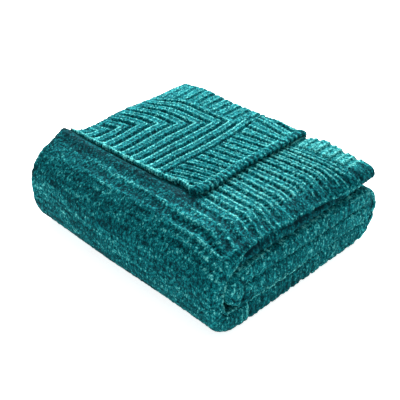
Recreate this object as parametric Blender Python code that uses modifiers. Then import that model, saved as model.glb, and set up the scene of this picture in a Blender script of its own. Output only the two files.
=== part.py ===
"""Folded chenille throw: one knitted sheet, folded in three across its width,
rolled back and forth along its length, with one end turned up on top.

Metres, +Z up.  X is the length of the folded block, Y its depth.
"""
import bpy
import bmesh
from math import copysign, cos, exp, hypot, pi, sin
from mathutils import Matrix, Vector

for old in list(bpy.data.objects):
    bpy.data.objects.remove(old, do_unlink=True)

# ---------------------------------------------------------------- sizes
PLY = 0.0060            # one thickness of the knit, pressed by the pile above
GAP = 0.0030            # air between two neighbouring passes
DEPTH = 0.355           # folded depth, Y

# The three-ply strip, pass by pass.  thick is all three plies with the air
# between them; the free side is at -X and the rolled side at +X.  On its outer
# side a pass starts to roll over shoulder half thicknesses in, and its outermost
# point lies tip half thicknesses below its middle.
PASSES = {
    "top":    dict(thick=0.0265, x_free=0.004, x_roll=0.4130, shoulder=3.0, tip=0.5),
    "bottom": dict(thick=0.0405, x_free=0.006, x_roll=0.4085, shoulder=1.0, tip=0.0),
    "lobe":   dict(thick=0.0275, x_free=0.002, x_roll=0.4190, shoulder=1.0, tip=0.0),
    "end":    dict(thick=0.0340, x_free=0.008, x_roll=0.4155, shoulder=1.0, tip=0.0),
}
STACK = ["bottom", "end", "lobe", "top"]    # from the ground up

# Turns between passes: their centre on Y, how far the middle of the strip
# reaches beyond it, the strip's thickness, shoulder and tip half way round, and
# how round the turn is above and below (1 is half an ellipse, less is squarer).
TURNS = {
    "front": dict(leaves="top", joins="bottom", y=0.074, reach=-0.0630, thick=0.0215,
                  shoulder=1.4, tip=0.1, above=0.92, below=0.70, steps=14),
    "back":  dict(leaves="bottom", joins="lobe", y=0.308, reach=0.0330, thick=0.0260,
                  shoulder=1.0, tip=0.0, above=0.86, below=0.72, steps=9),
    "inner": dict(leaves="lobe", joins="end", y=0.066, reach=-0.0250, thick=0.0220,
                  shoulder=1.0, tip=0.0, above=0.95, below=0.95, steps=7),
}
RUN_STEPS = 6
TOP_SHARES = (0.0, 0.16, 0.32, 0.50, 0.70, 0.85, 0.93, 1.0)     # closer towards the front fold
TOP_EDGE_Y = 0.338          # free end of the top pass
TOP_EDGE_THICK = 0.0200     # the plies press together there
INSIDE_EDGE_Y = 0.314       # free end of the last pass, inside the back turn

# The turned-up end, one ply on top of the pile.
FLAP_X = 0.278              # how far along X it reaches at the back
FLAP_SPLAY = 0.012          # how much further it reaches at the hem
FLAP_INSET = 0.007          # how much further in its free side lies at the hem
SPLAY_Y, SPLAY_RUN = 0.22, 0.12     # both set in from this y, over this length
FLAP_HEM_Y = 0.0840         # its hem, behind the front shoulder
HEM_RISE = dict(x=0.261, wide=0.024, back=0.0095)   # the hem lies further back here
FLAP_RISE = PLY + 0.0022    # its middle above the middle of the ply it lies on
FLAP_LOOP = 0.0050          # how much higher its loose fold stands at the back
FLAP_SINK = 0.0020          # how much lower the hem lies at its free end
FLAP_LOOP_STEPS, FLAP_STEPS, FLAP_COLUMNS = 7, 9, 9

# Soft swells and hollows of the settled pile: centre, spread and height.
SWELLS = [
    dict(x=0.02, y=0.050, wide=0.035, up=0.0025),
    dict(x=0.03, y=0.115, wide=0.050, up=-0.0060),
    dict(x=0.13, y=0.115, wide=0.050, up=-0.0020),
    dict(x=0.19, y=0.220, wide=0.080, up=-0.0030),
    dict(x=0.25, y=0.090, wide=0.055, up=0.0030),
    dict(x=0.35, y=0.160, wide=0.060, up=-0.0030),
    dict(x=0.35, y=0.330, wide=0.060, up=0.0050),
    dict(x=0.055, y=0.335, wide=0.045, up=0.0060),
    dict(x=0.03, y=0.330, wide=0.080, up=-0.0020),
]
# The front fold stands up as a ridge before the hem, highest at the free side.
RIDGE = dict(y=0.0715, wide=0.0145, up=0.0115)
RIDGE_ALONG = [(0.0, 1.0), (0.06, 0.7), (0.20, 0.6), (0.29, 0.0)]
# The rolled side leans in and down by SLUMP along its top, setting in over the
# first range in x and gone beyond the second in y.
SLUMP = 0.0090
SLUMP_X, SLUMP_Y = (0.355, 0.410), (0.240, 0.310)
BACK_DROP = 0.0050          # the pile is this much lower along its back
SETTLE_FROM = 0.030         # nothing below this height moves up or down
SIDE_WAVE = 0.0022          # in and out, along the two long sides
WAVE_LENGTH, WAVE_START = 0.273, 0.6        # metres a wave; radians at x = 0
BACK_WAVE = -0.8            # the back's share of it, the other way
WAVE_FROM = 0.4             # share of the half depth where it sets in

# Where mesh lines lie across the strip.
TUCK = 0.004                # inner edge of the middle ply, short of the roll
SHOULDER_TUCK = 0.9         # and this share of the way back to where a shoulder starts
LEVEL_STEP = 0.0045         # a pass counts as level below this rise a station
SHOULDER_X = 0.340

# ------------------------------------------------------ heights of passes
HEIGHT = {}
level = 0.0
for name in STACK:
    thick = PASSES[name]["thick"]
    HEIGHT[name] = level + thick / 2
    level += thick + GAP
PILE_TOP = level - GAP


def ease(a, b, t):
    t = min(max(t, 0.0), 1.0)
    return a + (b - a) * t * t * (3 - 2 * t)


def between(knots, x):
    """Straight lines from knot to knot, level beyond the last."""
    for (xa, a), (xb, b) in zip(knots, knots[1:]):
        if x < xb:
            return a + (b - a) * max(0.0, x - xa) / (xb - xa)
    return knots[-1][1]


def run(name, y0, y1, thick0=None):
    """Stations along a straight pass; its upper side stays level."""
    p = PASSES[name]
    rows = []
    for t in TOP_SHARES if name == "top" else [i / RUN_STEPS for i in range(RUN_STEPS + 1)]:
        thick = ease(thick0 or p["thick"], p["thick"], 2 * t)
        rows.append(dict(p, y=y0 + (y1 - y0) * t, z=HEIGHT[name] + (p["thick"] - thick) / 2,
                         thick=thick))
    return rows


def turn(name):
    """Stations round a turn, a half superellipse in Y and Z."""
    c = TURNS[name]
    a, b = PASSES[c["leaves"]], PASSES[c["joins"]]
    za, zb = HEIGHT[c["leaves"]], HEIGHT[c["joins"]]
    rows = []
    for i in range(1, c["steps"]):
        t = i / c["steps"]
        s, k = sin(pi * t), cos(pi * t)
        upper = k if za > zb else -k
        power = c["above"] if upper > 0 else c["below"]
        row = dict(y=c["y"] + c["reach"] * s ** power,
                   z=(za + zb) / 2 + (za - zb) / 2 * copysign(abs(k) ** power, k),
                   x_free=ease(a["x_free"], b["x_free"], t),
                   x_roll=ease(a["x_roll"], b["x_roll"], t))
        for key in ("thick", "shoulder", "tip"):
            row[key] = ease(a[key], c[key], 2 * t) if t < 0.5 else ease(c[key], b[key], 2 * t - 1)
        rows.append(row)
    return rows


def stations():
    """The middle of the strip, from its free end on top to the one inside."""
    rows = run("top", TOP_EDGE_Y, TURNS["front"]["y"], TOP_EDGE_THICK)
    rows += turn("front")
    rows += run("bottom", TURNS["front"]["y"], TURNS["back"]["y"])
    rows += turn("back")
    rows += run("lobe", TURNS["back"]["y"], TURNS["inner"]["y"])
    rows += turn("inner")
    rows += run("end", TURNS["inner"]["y"], INSIDE_EDGE_Y)
    for i, row in enumerate(rows):
        before, after = rows[max(i - 1, 0)], rows[min(i + 1, len(rows) - 1)]
        dy, dz = after["y"] - before["y"], after["z"] - before["z"]
        if abs(row["z"] - before["z"]) < LEVEL_STEP and abs(dz) < LEVEL_STEP:
            dz = 0.0
        size = hypot(dy, dz)
        row["ny"], row["nz"] = dz / size, -dy / size
    return rows


def across(row):
    """Points across the strip at one station: x, and offset from its middle.

    From the middle ply's edge inside the roll, out to a turn at the free side,
    back along the inner ply, round the roll at +X and home along the outer ply.
    """
    far = (row["thick"] - PLY) / 2
    near = far / 2
    x0 = row["x_free"] + PLY / 2
    x1 = row["x_roll"] - PLY / 2 - far
    start = x1 + far - far * row["shoulder"]
    tuck = x1 - TUCK - SHOULDER_TUCK * (x1 - start)
    points = [(tuck + (x0 + near - tuck) * i / 5, 0.0) for i in range(6)]
    for i in range(1, 5):
        a = pi * i / 5
        points.append((x0 + near - near * sin(a), near * cos(a) - near))
    points += [(x0 + near + (x1 - x0 - near) * i / 6, -far) for i in range(7)]
    for i in range(1, 8):
        a = pi * i / 8
        outer = cos(a) < 0
        x = start + far * row["shoulder"] * sin(a) if outer else x1 + far * sin(a)
        rise = -cos(a) * (1 + row["tip"] if outer else 1 - row["tip"])
        points.append((x, far * (rise - row["tip"])))
    points += [(x, far) for x in (start, SHOULDER_X)]
    points += [(FLAP_X + (x0 - FLAP_X) * i / FLAP_COLUMNS, far) for i in range(FLAP_COLUMNS + 1)]
    return points


def flap_profile(x):
    """The turned-up end over one x: round its loose fold and on to the hem."""
    top = HEIGHT["top"] + PASSES["top"]["thick"] / 2 - PLY / 2
    half = FLAP_RISE / 2
    points = []
    for i in range(1, FLAP_LOOP_STEPS + 1):
        a = pi * i / FLAP_LOOP_STEPS
        lift = FLAP_LOOP * sin(a / 2) ** 4
        points.append((x, TOP_EDGE_Y + 1.4 * half * sin(a), top + half - half * cos(a) + lift))
    near_hem = x * (FLAP_X + FLAP_SPLAY) / FLAP_X
    hem = FLAP_HEM_Y + HEM_RISE["back"] * exp(-((near_hem - HEM_RISE["x"]) / HEM_RISE["wide"]) ** 2)
    for i in range(1, FLAP_STEPS + 1):
        t = 1 - (1 - i / FLAP_STEPS) ** 1.4
        y = TOP_EDGE_Y + (hem - TOP_EDGE_Y) * t
        lift = FLAP_LOOP * (1 - ease(0.0, 1.0, 2.2 * t))
        lift -= FLAP_SINK * ease(0.0, 1.0, t) * ease(1.0, 0.0, (x - 0.008) / 0.030)
        out = FLAP_SPLAY * x / FLAP_X + FLAP_INSET * (1 - x / FLAP_X)
        points.append((x + out * ease(0.0, 1.0, (SPLAY_Y - y) / SPLAY_RUN), y, top + FLAP_RISE + lift))
    return points


def settle(x, y, z):
    """The same soft unevenness for every layer, none of it at the ground."""
    lift = max(0.0, (z - SETTLE_FROM) / (PILE_TOP - SETTLE_FROM))
    up = -BACK_DROP * max(0.0, y / DEPTH - 0.3)
    for s in SWELLS:
        up += s["up"] * exp(-((x - s["x"]) ** 2 + (y - s["y"]) ** 2) / s["wide"] ** 2)
    up += RIDGE["up"] * between(RIDGE_ALONG, x) * exp(-((y - RIDGE["y"]) / RIDGE["wide"]) ** 2)
    slump = SLUMP * lift * ease(0.0, 1.0, (x - SLUMP_X[0]) / (SLUMP_X[1] - SLUMP_X[0]))
    slump *= ease(1.0, 0.0, (y - SLUMP_Y[0]) / (SLUMP_Y[1] - SLUMP_Y[0]))
    belly = sin(pi * min(max(z / PILE_TOP, 0.0), 1.0))
    side = 1.0 if y < DEPTH / 2 else BACK_WAVE
    edge = max(0.0, abs(2 * y / DEPTH - 1.0) - WAVE_FROM) / (1 - WAVE_FROM)
    wave = sin(2 * pi * x / WAVE_LENGTH + WAVE_START)
    return x - slump, y + SIDE_WAVE * wave * belly * side * edge, z + up * lift - slump


# ------------------------------------------------------------- the sheet
bm = bmesh.new()


def knit_row(points):
    return [bm.verts.new(settle(*p)) for p in points]


def join(a, b):
    for i in range(len(a) - 1):
        bm.faces.new((a[i], a[i + 1], b[i + 1], b[i]))


rows = []
for row in stations():
    rows.append(knit_row([(x, row["y"] + row["ny"] * off, row["z"] + row["nz"] * off)
                          for x, off in across(row)]))
for a, b in zip(rows, rows[1:]):
    join(a, b)

flap_start = rows[0][-FLAP_COLUMNS - 1:]
profiles = [flap_profile(v.co.x) for v in flap_start]
last = flap_start
for i in range(FLAP_LOOP_STEPS + FLAP_STEPS):
    line = knit_row([profile[i] for profile in profiles])
    join(line, last)
    last = line

bmesh.ops.recalc_face_normals(bm, faces=bm.faces)
mesh = bpy.data.meshes.new("throw")
bm.to_mesh(mesh)
bm.free()

throw = bpy.data.objects.new("throw", mesh)
group = bpy.data.collections.new("folded chenille throw")
bpy.context.scene.collection.children.link(group)
group.objects.link(throw)

cloth = throw.modifiers.new("cloth thickness", "SOLIDIFY")
cloth.thickness = PLY
cloth.offset = 0.0
cloth.use_even_offset = True

# Stand the block on z = 0 with the origin under its middle.
view = bpy.context.evaluated_depsgraph_get()
corners = [Vector(c) for c in throw.evaluated_get(view).bound_box]
low = [min(c[i] for c in corners) for i in range(3)]
high = [max(c[i] for c in corners) for i in range(3)]
mesh.transform(Matrix.Translation((-(low[0] + high[0]) / 2, -(low[1] + high[1]) / 2, -low[2])))

knit = bpy.data.materials.new("teal chenille knit")
knit.use_nodes = True
shader = knit.node_tree.nodes["Principled BSDF"]
shader.inputs["Base Color"].default_value = (0.012, 0.290, 0.285, 1.0)
shader.inputs["Roughness"].default_value = 0.85
throw.data.materials.append(knit)
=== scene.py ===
"""Folded chenille throw: the looks.

A chunky rib-knit throw in teal chenille, folded in three across its width and
rolled back and forth along its length, with one end turned up on top.

Metres, +Z up.  X runs along the folded block, Y across it.  The fold is laid
out from the block's own corner and moved to its middle at the end.
"""
from math import ceil, cos, pi, radians, sin

import bpy
import numpy as np
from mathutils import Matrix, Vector


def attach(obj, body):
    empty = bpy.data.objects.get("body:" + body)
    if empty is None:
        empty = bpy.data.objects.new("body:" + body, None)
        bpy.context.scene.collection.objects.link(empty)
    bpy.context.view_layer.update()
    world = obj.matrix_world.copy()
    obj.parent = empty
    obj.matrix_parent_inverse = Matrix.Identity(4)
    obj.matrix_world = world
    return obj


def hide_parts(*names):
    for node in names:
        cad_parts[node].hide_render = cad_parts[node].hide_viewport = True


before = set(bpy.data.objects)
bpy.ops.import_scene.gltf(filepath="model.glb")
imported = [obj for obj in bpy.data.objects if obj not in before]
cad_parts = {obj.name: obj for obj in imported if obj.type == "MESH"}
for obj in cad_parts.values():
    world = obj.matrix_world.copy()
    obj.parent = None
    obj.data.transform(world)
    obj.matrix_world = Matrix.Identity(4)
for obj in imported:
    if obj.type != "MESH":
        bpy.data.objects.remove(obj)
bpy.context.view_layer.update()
bpy.ops.object.select_all(action="DESELECT")

# ------------------------------------------------------------- the fold
PLY = 0.0060                    # one thickness of the knit
GAP = 0.0030                    # air between two passes
FLOOR_CLEAR = 0.0003            # the lowest pass lies this far above the floor
DEPTH = 0.355                   # folded depth, Y
MIDDLE = (0.21062, 0.17672)     # middle of the block, from its corner

# The three-ply strip, pass by pass: thickness, free side and rolled side.
PASSES = {
    "top":    dict(thick=0.0265, x_free=0.004, x_roll=0.4130),
    "bottom": dict(thick=0.0405, x_free=0.006, x_roll=0.4085),
    "lobe":   dict(thick=0.0275, x_free=0.002, x_roll=0.4190),
    "end":    dict(thick=0.0340, x_free=0.008, x_roll=0.4155),
}
STACK = ["bottom", "end", "lobe", "top"]

# Turns between passes: centre on Y, reach beyond it, thickness half way round
# and roundness above and below the middle.
TURNS = {
    "front": dict(leaves="top", joins="bottom", y=0.074, reach=-0.0630, thick=0.0215,
                  above=0.92, below=0.58),
    "back":  dict(leaves="bottom", joins="lobe", y=0.308, reach=0.0330, thick=0.0260,
                  above=0.96, below=0.60),
    "inner": dict(leaves="lobe", joins="end", y=0.066, reach=-0.0275, thick=0.0300,
                  above=0.95, below=0.95),
}
TOP_EDGE_Y = 0.338              # the top pass starts here, thinner
TOP_EDGE_THICK = 0.0200
INSIDE_EDGE_Y = 0.322           # the last pass ends here, thinner again
INSIDE_EDGE_THICK = 0.0260

# The turned-up end on top.
FLAP_X = 0.278                  # its edge at the back; the edge runs out by this towards the hem
FLAP_SPLAY = 0.012
FLAP_HEM_Y = 0.0840
HEM_RISE = dict(x=0.261, wide=0.024, back=0.0095)   # the hem lies further back here
FLAP_RISE = PLY + 0.0022        # its middle lies this far above the ply it folds out of
FLAP_LOOP = 0.0050              # and this much more at the loose fold
FLAP_LOOP_GONE = dict(x=0.215, over=0.060, share=0.85)   # less so towards the open side
FLAP_SINK = dict(x=0.008, over=0.030, down=0.0020)       # it sinks in at the free side
FLAP_CORNER = 0.016             # plan radius of its front corner
FLAP_INSET = 0.007              # its free side lies further in towards the hem
FLAP_FORWARD = dict(y=0.22, over=0.12)                   # where the two side shifts set in

# Soft swells and dips of the pile: place, half width and height.
SWELLS = [
    dict(x=0.02, y=0.050, wide=0.035, up=0.0025),
    dict(x=0.03, y=0.115, wide=0.050, up=-0.0060),
    dict(x=0.13, y=0.115, wide=0.050, up=-0.0020),
    dict(x=0.19, y=0.220, wide=0.080, up=-0.0030),
    dict(x=0.25, y=0.090, wide=0.055, up=0.0030),
    dict(x=0.35, y=0.160, wide=0.060, up=-0.0030),
    dict(x=0.35, y=0.330, wide=0.060, up=0.0050),
    dict(x=0.318, y=0.335, wide=0.032, up=0.0080),
    dict(x=0.055, y=0.335, wide=0.045, up=0.0060),
    dict(x=0.03, y=0.330, wide=0.080, up=-0.0020),
]
RIDGE = dict(y=0.0715, wide=0.0145, up=0.0115)   # the front fold stands up before the hem
RIDGE_X, RIDGE_SHARE = (0.0, 0.06, 0.20, 0.29), (1.0, 0.7, 0.6, 0.0)   # highest at the free side
SLUMP = 0.0090                  # the rolled side leans in and down by this along its top
SLUMP_X, SLUMP_Y = (0.355, 0.410), (0.240, 0.310)   # where it sets in, and where it has gone
BACK_DROP, DROP_FROM = 0.0050, 0.3   # the pile is this much lower along its back
SETTLE_FROM = 0.030             # nothing below this height moves up or down
SIDE_WAVE = 0.0022              # in and out, along the two long sides
WAVE_LENGTH, WAVE_START = 0.273, 0.6
BACK_WAVE = -0.8                # the back waves the other way, a little less
WAVE_FROM = 0.4                 # the middle of the block stays still

# -------------------------------------------------------------- the knit
RIB = 0.0225                    # one rib and its groove where the knit hangs loose
RIB_DEEP = 0.0050               # crown to groove
STITCH = 0.0085                 # one stitch along a rib
BORDER_Y = 0.305                # beyond this the ribs of the top pass run along Y
BORDER_RIB, BORDER_FIRST = 0.0233, 0.0313
BUTT = 0.0030                   # one field of ribs sinks over this where it meets the next, and is painted darker there as shade
# Grooves of the top pass by strip length: by the border, then ribs that widen, then the front.
BORDER_GROOVES = [0.0373, 0.0525, 0.0680]
TOP_GROOVES = dict(start=0.0650, rib=0.0180, widen=0.00045, count=8)
FRONT_GROOVES = [0.2650, 0.2960]

# The turned-up end's fields of ribs: columns counted from this x back to the
# free side and rows from this y down to the hem, both widening as they go.
COLUMNS = dict(first=0.2132, rib=0.0189, widen=0.00028)
ROWS = dict(first=0.3007, rib=0.0203, widen=0.00035)
LEAN_Y, LEAN_BEHIND, LEAN_BEFORE = 0.1607, 0.11, 0.15   # the columns stand at their x here
DROOP_X, DROOP_SOFT = 0.0582, 0.0001                    # the rows droop from here on
DROOP_Y, DROOP_SHARE = (0.14, 0.17, 0.20, 0.26), (0.2, 0.3, 0.4, 0.58)
BACK_FIELD_Y = 0.2937           # ribs along Y again beyond this
SPINE_END_Y = 0.3057            # the first column runs on to here
SIDE_FIELD = dict(first=0.3121, rib=0.0191, x=0.2327, sway=0.15, sway_y=0.2357, sway_length=0.17)
SLOPE_Y, SLOPE_SHARE = (0.11, 0.14, 0.18, 0.27, 0.293, 0.316), (0.42, 0.30, 0.12, 0.12, 0.02, -0.13)
BACK_FIELD = dict(first=0.1872, rib=0.0208)
FLAP_STITCH = 0.0062
CRISP = dict(mitre=1.0, beside=0.92, behind=0.70)       # how strong each field's ribs are

HEIGHT = {}
level = 0.0
for name in STACK:
    HEIGHT[name] = level + PASSES[name]["thick"] / 2
    level += PASSES[name]["thick"] + GAP
PILE_TOP = level - GAP


def ease(a, b, t):
    """From a to b while t goes from 0 to 1, smooth at both ends."""
    t = np.clip(t, 0.0, 1.0)
    return a + (b - a) * t * t * (3 - 2 * t)


# ------------------------------------------------ middle line of the strip
LINE_STEP = 0.0005              # its points lie this far apart


def run(name, y0, y1, thick0=None, thick1=None):
    """One pass along Y, with another thickness at its start or end."""
    p = PASSES[name]
    t = np.linspace(0, 1, 200)
    thick = ease(thick0 or p["thick"], p["thick"], 2 * t)
    thick = ease(thick, thick1 or p["thick"], 10 * t - 9)
    y = y0 + (y1 - y0) * t
    z = HEIGHT[name] + (0 * t if thick1 else (p["thick"] - thick) / 2)
    way = np.sign(y0 - y1)
    return dict(name=np.full(200, name), y=y, z=z, ny=0 * t, nz=way + 0 * t, thick=thick,
                x_free=p["x_free"] + 0 * t, x_roll=p["x_roll"] + 0 * t)


def turn(name):
    """The round turn from one pass to the next."""
    c = TURNS[name]
    a, b = PASSES[c["leaves"]], PASSES[c["joins"]]
    za, zb = HEIGHT[c["leaves"]], HEIGHT[c["joins"]]
    t = np.linspace(0, 1, 240)[1:-1]
    s, k = np.sin(pi * t), np.cos(pi * t)
    power = np.where(k * (za - zb) > 0, c["above"], c["below"])
    y = c["y"] + c["reach"] * s ** power
    z = (za + zb) / 2 + (za - zb) / 2 * np.sign(k) * np.abs(k) ** power
    dy, dz = np.gradient(y), np.gradient(z)
    size = np.hypot(dy, dz)
    thick = np.where(t < 0.5, ease(a["thick"], c["thick"], 2 * t),
                     ease(c["thick"], b["thick"], 2 * t - 1))
    return dict(name=np.full(len(t), name), y=y, z=z, ny=dz / size, nz=-dy / size, thick=thick,
                x_free=ease(a["x_free"], b["x_free"], t),
                x_roll=ease(a["x_roll"], b["x_roll"], t))


def middle_line():
    """The whole strip as arrays over its length s, normals smoothed."""
    legs = [run("top", TOP_EDGE_Y, TURNS["front"]["y"], TOP_EDGE_THICK), turn("front"),
            run("bottom", TURNS["front"]["y"], TURNS["back"]["y"]), turn("back"),
            run("lobe", TURNS["back"]["y"], TURNS["inner"]["y"]), turn("inner"),
            run("end", TURNS["inner"]["y"], INSIDE_EDGE_Y, thick1=INSIDE_EDGE_THICK)]
    line = {k: np.concatenate([leg[k] for leg in legs]) for k in legs[0]}
    s = np.concatenate([[0], np.cumsum(np.hypot(np.diff(line["y"]), np.diff(line["z"])))])
    even = np.arange(0, s[-1], LINE_STEP)
    kernel = np.ones(13) / 13
    out = {"s": even}
    for k, v in line.items():
        if k == "name":
            out[k] = v[np.searchsorted(s, even).clip(0, len(v) - 1)]
            continue
        v = np.interp(even, s, v)
        if k in ("ny", "nz"):
            v = np.convolve(np.pad(v, 6, mode="edge"), kernel, "valid")
        out[k] = v
    size = np.hypot(out["ny"], out["nz"])
    out["ny"] /= size
    out["nz"] /= size
    return out


LINE = middle_line()


def station(s):
    """Strip values at length s."""
    row = {k: float(np.interp(s, LINE["s"], v)) for k, v in LINE.items() if k != "name"}
    row["name"] = LINE["name"][min(int(s / LINE_STEP), len(LINE["s"]) - 1)]
    return row


# ----------------------------------------------------------- unevenness
def grain(u, v, size, seed):
    """Smooth random values from -1 to 1 over cells of one size."""
    table = np.random.RandomState(seed).uniform(-1, 1, (64, 64))
    u, v = np.asarray(u) / size + 1000, np.asarray(v) / size + 1000
    i, j = np.floor(u).astype(int), np.floor(v).astype(int)
    a, b = u - i, v - j
    a, b = a * a * (3 - 2 * a), b * b * (3 - 2 * b)
    i0, i1, j0, j1 = i % 64, (i + 1) % 64, j % 64, (j + 1) % 64
    return ((table[i0, j0] * (1 - a) + table[i1, j0] * a) * (1 - b)
            + (table[i0, j1] * (1 - a) + table[i1, j1] * a) * b)


def slumped(x, y):
    """How far the rolled side has slumped, 0 to 1."""
    return ease(0.0, 1.0, (x - SLUMP_X[0]) / (SLUMP_X[1] - SLUMP_X[0])) \
        * ease(1.0, 0.0, (y - SLUMP_Y[0]) / (SLUMP_Y[1] - SLUMP_Y[0]))


def settle(p):
    """The soft unevenness of the settled pile, and the move to the middle."""
    x, y, z = p[:, 0], p[:, 1], p[:, 2]
    lift = np.maximum(0.0, (z - SETTLE_FROM) / (PILE_TOP - SETTLE_FROM))
    up = -BACK_DROP * np.maximum(0.0, y / DEPTH - DROP_FROM)
    for swell in SWELLS:
        far = (x - swell["x"]) ** 2 + (y - swell["y"]) ** 2
        up = up + swell["up"] * np.exp(-far / swell["wide"] ** 2)
    along = np.interp(x, RIDGE_X, RIDGE_SHARE)
    up = up + RIDGE["up"] * along * np.exp(-((y - RIDGE["y"]) / RIDGE["wide"]) ** 2)
    slump = SLUMP * slumped(x, y) * lift
    up = up * lift - slump
    belly = np.sin(pi * np.clip(z / PILE_TOP, 0.0, 1.0))
    side = np.where(y < DEPTH / 2, 1.0, BACK_WAVE)
    edge = np.maximum(0.0, np.abs(2 * y / DEPTH - 1.0) - WAVE_FROM) / (1 - WAVE_FROM)
    wave = np.sin(2 * pi * x / WAVE_LENGTH + WAVE_START)
    out = p.copy()
    out[:, 0] -= MIDDLE[0] + slump
    out[:, 1] += SIDE_WAVE * wave * belly * side * edge - MIDDLE[1]
    out[:, 2] += up
    return out


# --------------------------------------------------------------- relief
def groove_lines(total):
    """Where the grooves lie along the strip: the ribs widen towards the front."""
    top = TOP_GROOVES
    k = np.arange(1, top["count"] + 1)
    widening = top["start"] + top["rib"] * k + top["widen"] * k * k
    even = np.arange(FRONT_GROOVES[-1] + RIB, total + RIB, RIB)
    return np.concatenate([BORDER_GROOVES, widening, FRONT_GROOVES, even])


GROOVES = groove_lines(LINE["s"][-1])


# Across one rib, 0 at its middle and 1 in the groove: where the crown ends and
# over how much it falls, and place or half width of the strand, hollow and groove.
CROWN_END, CROWN_FALL = 0.46, 0.40
STRAND_AT, STRAND_WIDE = 0.44, 0.13
HOLLOW_WIDE = 0.26
GROOVE_WIDE = 0.30
STITCH_SLANT = 0.0050           # the stitches of a rib lie aslant by this


def bell(distance, wide):
    """1 at no distance, falling away on both sides."""
    return np.exp(-(distance / wide) ** 2)


def knit(rib, b, ladder, stitch=STITCH):
    """Height and lightness of the rib knit, about 0 in a groove to 1 on a crown.

    rib counts ribs across, b runs along them in metres.  Each rib is two thin
    strands with a flat between them; ladder raises the cross stitches that
    bridge the grooves and leave a hole between each two.  The lightness is
    painted shade in the grooves and holes and a painted highlight on the
    crowns and strands.
    """
    number = np.floor(rib)
    f = rib - number
    w = np.abs(2 * f - 1)
    beat = np.sin(2 * pi * (b + STITCH_SLANT * f) / stitch + 2.1 * np.sin(2.4 * number)
                  + 1.8 * grain(b, rib * 0.01, 0.030, 5))
    w = np.clip(w + 0.05 * beat * w, 0, 1)
    crown = ease(1.0, 0.0, (w - CROWN_END) / CROWN_FALL)
    strand = bell(w - STRAND_AT, STRAND_WIDE)
    hollow = bell(w, HOLLOW_WIDE)
    groove = bell(1 - w, GROOVE_WIDE)
    rung = ladder * groove * np.clip(beat, 0, 1)
    hole_shade = groove * np.clip(-beat, 0, 1)
    high = 0.78 * crown + 0.22 * strand * (1 + 0.25 * beat) - 0.14 * hollow + 0.45 * rung
    # painted highlight on crowns and strands, painted shade in the hollow, grooves and holes
    light = 0.34 + 0.22 * crown + 0.38 * strand * (1 + 0.3 * beat) - 0.08 * hollow + 0.30 * rung \
        - 0.16 * hole_shade
    return high, light


def nubs(a, b, seed):
    """The lumpy surface of the yarn, -1 to 1, in nubs of 3.6 and 2.1 mm."""
    return 0.55 * grain(a, b, 0.0036, seed) + 0.45 * grain(b, a, 0.0021, seed + 1)


# ------------------------------------------------------------ mesh tools
class Sheet:
    """Rows of points joined into one surface, with a lightness for each point
    and how thickly its pile shows."""

    def __init__(self):
        self.points, self.tone, self.uv, self.fur, self.faces, self.count = [], [], [], [], [], 0

    def row(self, points, tone, uv, fur):
        first = self.count
        self.points.append(points)
        self.tone.append(tone)
        self.uv.append(uv)
        self.fur.append(fur)
        self.count += len(points)
        return np.arange(first, self.count)

    def join(self, ia, qa, ib, qb):
        """Faces between two rows; rows of unlike counts are zipped together."""
        if len(ia) == len(ib):
            for i in range(len(ia) - 1):
                self.faces.append((ia[i], ib[i], ib[i + 1], ia[i + 1]))
            return
        i = j = 0
        while i < len(ia) - 1 or j < len(ib) - 1:
            if j == len(ib) - 1 or (i < len(ia) - 1 and qa[i + 1] <= qb[j + 1]):
                self.faces.append((ia[i], ib[j], ia[i + 1]))
                i += 1
            else:
                self.faces.append((ia[i], ib[j], ib[j + 1]))
                j += 1

    def build(self, name):
        faces = [tuple(map(int, f)) for f in self.faces]
        obj = piece(name, settle(np.concatenate(self.points)), faces, np.concatenate(self.tone))
        uv = obj.data.uv_layers.new(name="cloth")
        corner = np.empty(len(obj.data.loops), dtype=np.int32)
        obj.data.loops.foreach_get("vertex_index", corner)
        uv.data.foreach_set("uv", np.concatenate(self.uv)[corner].astype(np.float32).ravel())
        obj.data.polygons.foreach_set("use_smooth", [True] * len(faces))
        return obj


def piece(name, points, faces, tone):
    """One object at the origin, its lightness in a point attribute: random tone with painted light and shade.
    """
    mesh = bpy.data.meshes.new(name)
    mesh.from_pydata(points.tolist(), [], faces)
    level = mesh.attributes.new("knit_tone_and_shade", "FLOAT", "POINT")
    level.data.foreach_set("value", tone.astype(np.float32))
    mesh.update()
    obj = bpy.data.objects.new(name, mesh)
    bpy.context.scene.collection.objects.link(obj)
    return obj


def corners(mesh):
    """Triangle corners, points and normals of a mesh as arrays."""
    mesh.calc_loop_triangles()
    tri = np.empty(len(mesh.loop_triangles) * 3, dtype=np.int32)
    mesh.loop_triangles.foreach_get("vertices", tri)
    at = np.empty(len(mesh.vertices) * 3, dtype=np.float32)
    mesh.vertices.foreach_get("co", at)
    out = np.empty(len(mesh.vertices) * 3, dtype=np.float32)
    mesh.vertex_normals.foreach_get("vector", out)
    return tri.reshape(-1, 3), at.reshape(-1, 3), out.reshape(-1, 3)


def unit(v):
    return v / np.maximum(np.linalg.norm(v, axis=1), 1e-12)[:, None]


# The tufts: half width, length as a share of the full one, lean off the upright
# in degrees, how deep they root, how much they narrow and how much darker their
# root is painted, as shade deep in the pile.
TUFT = dict(half=(0.00040, 0.00075), length=(0.6, 1.2), lean=(48, 82), root=0.0003, narrow=0.7, dark=0.35)
CLUMP, CLUMP_COARSE = 0.0015, 0.0030    # cell sizes of the clumps they gather in
LOWEST = 0.0004                 # no tuft reaches below this height


def clumps(place):
    """Where the tufts gather, -1 to 1."""
    return 0.80 * grain(place[:, 0], place[:, 1] * 0.5, CLUMP, 51) \
        + 0.20 * grain(place[:, 0], place[:, 1] * 0.6, CLUMP_COARSE, 52)


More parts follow.
